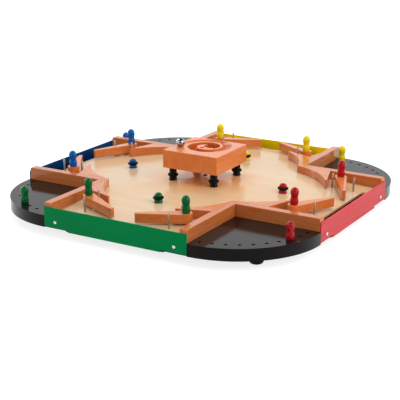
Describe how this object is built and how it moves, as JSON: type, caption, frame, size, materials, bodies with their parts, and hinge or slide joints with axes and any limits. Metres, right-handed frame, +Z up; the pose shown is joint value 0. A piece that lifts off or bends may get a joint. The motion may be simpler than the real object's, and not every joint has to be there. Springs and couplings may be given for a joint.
{
  "type": "tabletop pinball game",
  "caption": "Low square wooden table game with round black corners, hand-turned flippers on every side, pegs and bumpers, and a raised block with a spiral ball track.",
  "frame": {"origin": "on the table under the middle of the game, at the feet's undersides", "axes": "+Z up; the green player sits at -Y, red at +X, yellow at +Y and blue at -X"},
  "size_m": [0.6844, 0.6844, 0.142],
  "materials": {
    "black_wood": "black satin paint",
    "maple": "clear gloss varnish",
    "beech": "clear satin varnish",
    "green_metal": "satin",
    "red_metal": "satin",
    "yellow_metal": "satin",
    "blue_metal": "satin",
    "green_wood": "gloss lacquer",
    "red_wood": "gloss lacquer",
    "yellow_wood": "gloss lacquer",
    "blue_wood": "gloss lacquer",
    "black_lacquer": "gloss lacquer",
    "black_rubber": "matt",
    "steel": "bright",
    "ball_steel": "polished",
    "nylon": "satin",
    "black_board": "matt hardboard",
    "black_steel": "black oxide"
  },
  "bodies": {
    "table": {"base_board": "black_wood", "playfield_board": "maple", "panel_screws": "steel", "drain_plates": "black_board", "feet": "black_rubber", "foot_screws": "steel", "pivot_pins": "steel", "pivot_washers": "nylon", "stop_pins": "steel", "bumper_rings": "black_rubber", "block_legs": "black_lacquer", "leg_rings": "black_rubber", "centre_block": "beech", "cup_washer": "nylon", "centre_screw": "black_steel", "panel_green": "green_metal", "panel_red": "red_metal", "panel_yellow": "yellow_metal", "panel_blue": "blue_metal", "rail_green_left": "beech", "rail_green_right": "beech", "rail_red_left": "beech", "rail_red_right": "beech", "rail_yellow_left": "beech", "rail_yellow_right": "beech", "rail_blue_left": "beech", "rail_blue_right": "beech", "wedge_green_left": "beech", "wedge_green_right": "beech", "wedge_red_left": "beech", "wedge_red_right": "beech", "wedge_yellow_left": "beech", "wedge_yellow_right": "beech", "wedge_blue_left": "beech", "wedge_blue_right": "beech", "bumper_green": "green_wood", "bumper_red": "red_wood", "bumper_yellow": "yellow_wood", "bumper_blue": "blue_wood"},
    "flipper_green_left": {"flipper_green_left": "beech", "knob_green_left": "green_wood"},
    "flipper_green_right": {"flipper_green_right": "beech", "knob_green_right": "green_wood"},
    "flipper_red_left": {"flipper_red_left": "beech", "knob_red_left": "red_wood"},
    "flipper_red_right": {"flipper_red_right": "beech", "knob_red_right": "red_wood"},
    "flipper_yellow_left": {"flipper_yellow_left": "beech", "knob_yellow_left": "yellow_wood"},
    "flipper_yellow_right": {"flipper_yellow_right": "beech", "knob_yellow_right": "yellow_wood"},
    "flipper_blue_left": {"flipper_blue_left": "beech", "knob_blue_left": "blue_wood"},
    "flipper_blue_right": {"flipper_blue_right": "beech", "knob_blue_right": "blue_wood"},
    "peg_green": {"peg_green": "green_wood"},
    "peg_red": {"peg_red": "red_wood"},
    "peg_yellow": {"peg_yellow": "yellow_wood"},
    "peg_blue": {"peg_blue": "blue_wood"},
    "ball": {"ball": "ball_steel"}
  },
  "joints": [
    {"name": "flipper_green_left_pivot", "type": "hinge", "parent": "table", "child": "flipper_green_left", "pos_m": [-0.0865, -0.27182, 0.04922], "axis": [0, -0.0414, 0.9991], "range_deg": [-8.8, 63.2]},
    {"name": "flipper_green_right_pivot", "type": "hinge", "parent": "table", "child": "flipper_green_right", "pos_m": [0.0865, -0.27182, 0.04922], "axis": [0, 0.0414, -0.9991], "range_deg": [-8.8, 63.2]},
    {"name": "flipper_red_left_pivot", "type": "hinge", "parent": "table", "child": "flipper_red_left", "pos_m": [0.27182, -0.0865, 0.04922], "axis": [0.0414, 0, 0.9991], "range_deg": [-8.8, 63.2]},
    {"name": "flipper_red_right_pivot", "type": "hinge", "parent": "table", "child": "flipper_red_right", "pos_m": [0.27182, 0.0865, 0.04922], "axis": [-0.0414, 0, -0.9991], "range_deg": [-8.8, 63.2]},
    {"name": "flipper_yellow_left_pivot", "type": "hinge", "parent": "table", "child": "flipper_yellow_left", "pos_m": [0.0865, 0.27182, 0.04922], "axis": [0, 0.0414, 0.9991], "range_deg": [-8.8, 63.2]},
    {"name": "flipper_yellow_right_pivot", "type": "hinge", "parent": "table", "child": "flipper_yellow_right", "pos_m": [-0.0865, 0.27182, 0.04922], "axis": [0, -0.0414, -0.9991], "range_deg": [-8.8, 63.2]},
    {"name": "flipper_blue_left_pivot", "type": "hinge", "parent": "table", "child": "flipper_blue_left", "pos_m": [-0.27182, 0.0865, 0.04922], "axis": [-0.0414, 0, 0.9991], "range_deg": [-8.8, 63.2]},
    {"name": "flipper_blue_right_pivot", "type": "hinge", "parent": "table", "child": "flipper_blue_right", "pos_m": [-0.27182, -0.0865, 0.04922], "axis": [0.0414, 0, -0.9991], "range_deg": [-8.8, 63.2]},
    {"name": "peg_green_lift", "type": "slide", "parent": "table", "child": "peg_green", "axis": [0, 0, 1], "range_m": [0, 0.02]},
    {"name": "peg_red_lift", "type": "slide", "parent": "table", "child": "peg_red", "axis": [0, 0, 1], "range_m": [0, 0.02]},
    {"name": "peg_yellow_lift", "type": "slide", "parent": "table", "child": "peg_yellow", "axis": [0, 0, 1], "range_m": [0, 0.02]},
    {"name": "peg_blue_lift", "type": "slide", "parent": "table", "child": "peg_blue", "axis": [0, 0, 1], "range_m": [0, 0.02]},
    {"name": "ball_lift", "type": "slide", "parent": "table", "child": "ball", "axis": [0, 0, 1], "range_m": [0, 0.03]}
  ]
}
